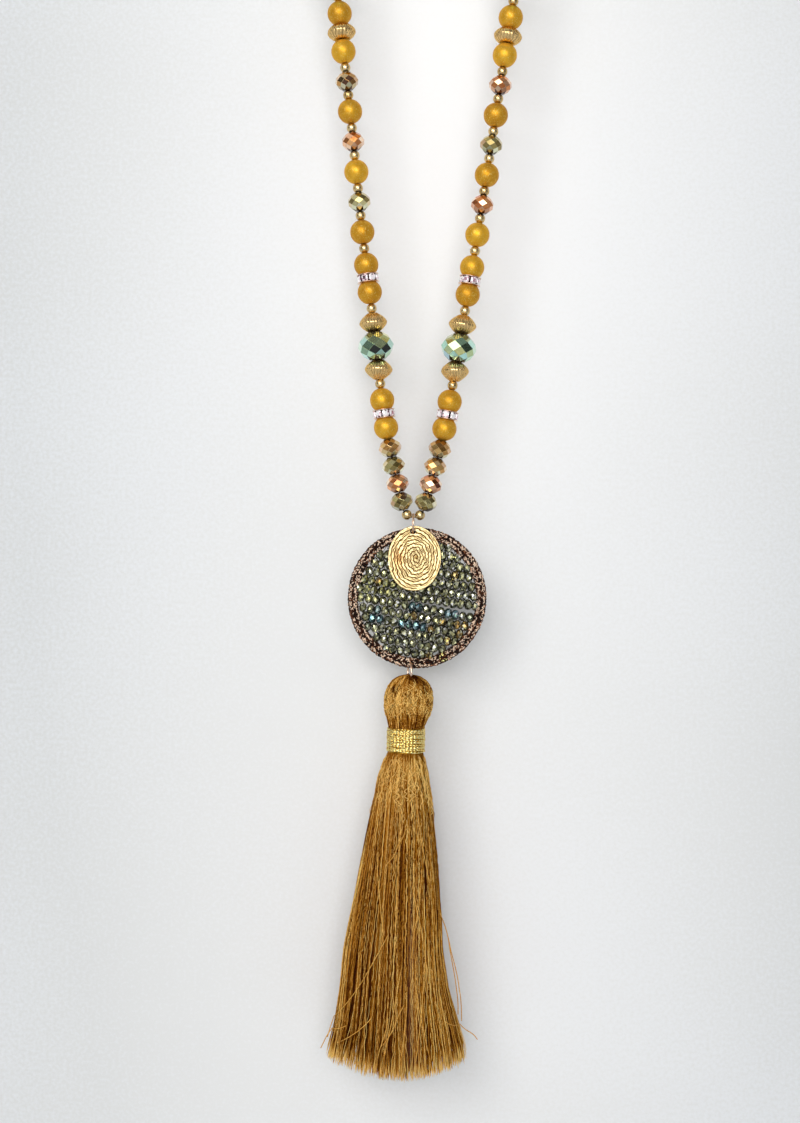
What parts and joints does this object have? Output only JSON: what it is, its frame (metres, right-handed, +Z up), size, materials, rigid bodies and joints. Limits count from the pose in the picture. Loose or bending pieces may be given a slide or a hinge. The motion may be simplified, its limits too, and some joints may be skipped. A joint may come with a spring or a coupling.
{
  "type": "tassel necklace",
  "caption": "Long bead necklace: painted round beads, faceted crystals and fluted metal beads on a slip-on loop, with a beaded hoop pendant, an oval charm and a silk tassel.",
  "frame": {"origin": "underside of the middle bead at the top of the loop, where a neck or a rail carries the necklace", "axes": "+Z up, +X to the viewer's right, +Y to the back; the loop hangs in the XZ plane"},
  "size_m": [0.1062, 0.0324, 0.5676],
  "materials": {
    "mustard_paint": "satin pearl paint with a faint grain",
    "antique_gold": "bright antique gold plate",
    "rose_metal": "polished rose gold plate",
    "olive_crystal": "faceted, half-mirror olive coat",
    "copper_crystal": "faceted, half-mirror copper coat",
    "bronze_crystal": "faceted, half-mirror bronze coat",
    "green_crystal": "faceted, half-mirror green and blue coat",
    "clear_stone": "cut and polished",
    "stringing_thread": "waxed twisted thread",
    "metallic_wrap": "brown and copper metallic thread, crocheted over the hoop",
    "dark_seed_beads": "small faceted beads, metallic green, gold and blue",
    "pale_gold": "hammered pale gold",
    "ochre_silk": "silky thread",
    "gold_lurex": "flat metallic gold thread"
  },
  "bodies": {
    "root": {"left_crystal_1": "olive_crystal", "left_crystal_2": "copper_crystal", "left_crystal_3": "olive_crystal", "left_crystal_4": "bronze_crystal", "left_crystal_5": "olive_crystal", "left_crystal_6": "copper_crystal", "left_crystal_7": "bronze_crystal", "left_green_crystal_1": "green_crystal", "left_green_crystal_2": "green_crystal", "left_bicone_1": "antique_gold", "left_bicone_2": "antique_gold", "left_saucer_1": "antique_gold", "left_rhinestone_rondelle_1": "rose_metal", "left_rhinestone_rondelle_2": "rose_metal", "right_crystal_1": "olive_crystal", "right_crystal_2": "copper_crystal", "right_crystal_3": "bronze_crystal", "right_crystal_4": "bronze_crystal", "right_crystal_5": "copper_crystal", "right_crystal_6": "olive_crystal", "right_crystal_7": "copper_crystal", "right_green_crystal_1": "green_crystal", "right_green_crystal_2": "green_crystal", "right_bicone_1": "antique_gold", "right_bicone_2": "antique_gold", "right_saucer_1": "antique_gold", "right_rhinestone_rondelle_1": "rose_metal", "right_rhinestone_rondelle_2": "rose_metal", "round_beads": "mustard_paint", "spacer_beads": "antique_gold", "back_crystals": "bronze_crystal", "thread": "stringing_thread"},
    "pendant": {"top_ring": "rose_metal", "hoop": "metallic_wrap", "bead_rows": "dark_seed_beads", "charm": "pale_gold"},
    "tassel": {"lower_ring": "rose_metal", "tassel": "ochre_silk", "binding": "gold_lurex"}
  },
  "joints": [
    {"name": "pendant_swing", "type": "hinge", "parent": "root", "child": "pendant", "pos_m": [0, 0, -0.37606], "axis": [1, 0, 0], "range_deg": [-75, 75]},
    {"name": "tassel_swing", "type": "hinge", "parent": "pendant", "child": "tassel", "pos_m": [0, 0, -0.42742], "axis": [0.9848, 0.1736, 0], "range_deg": [-60, 60]}
  ]
}
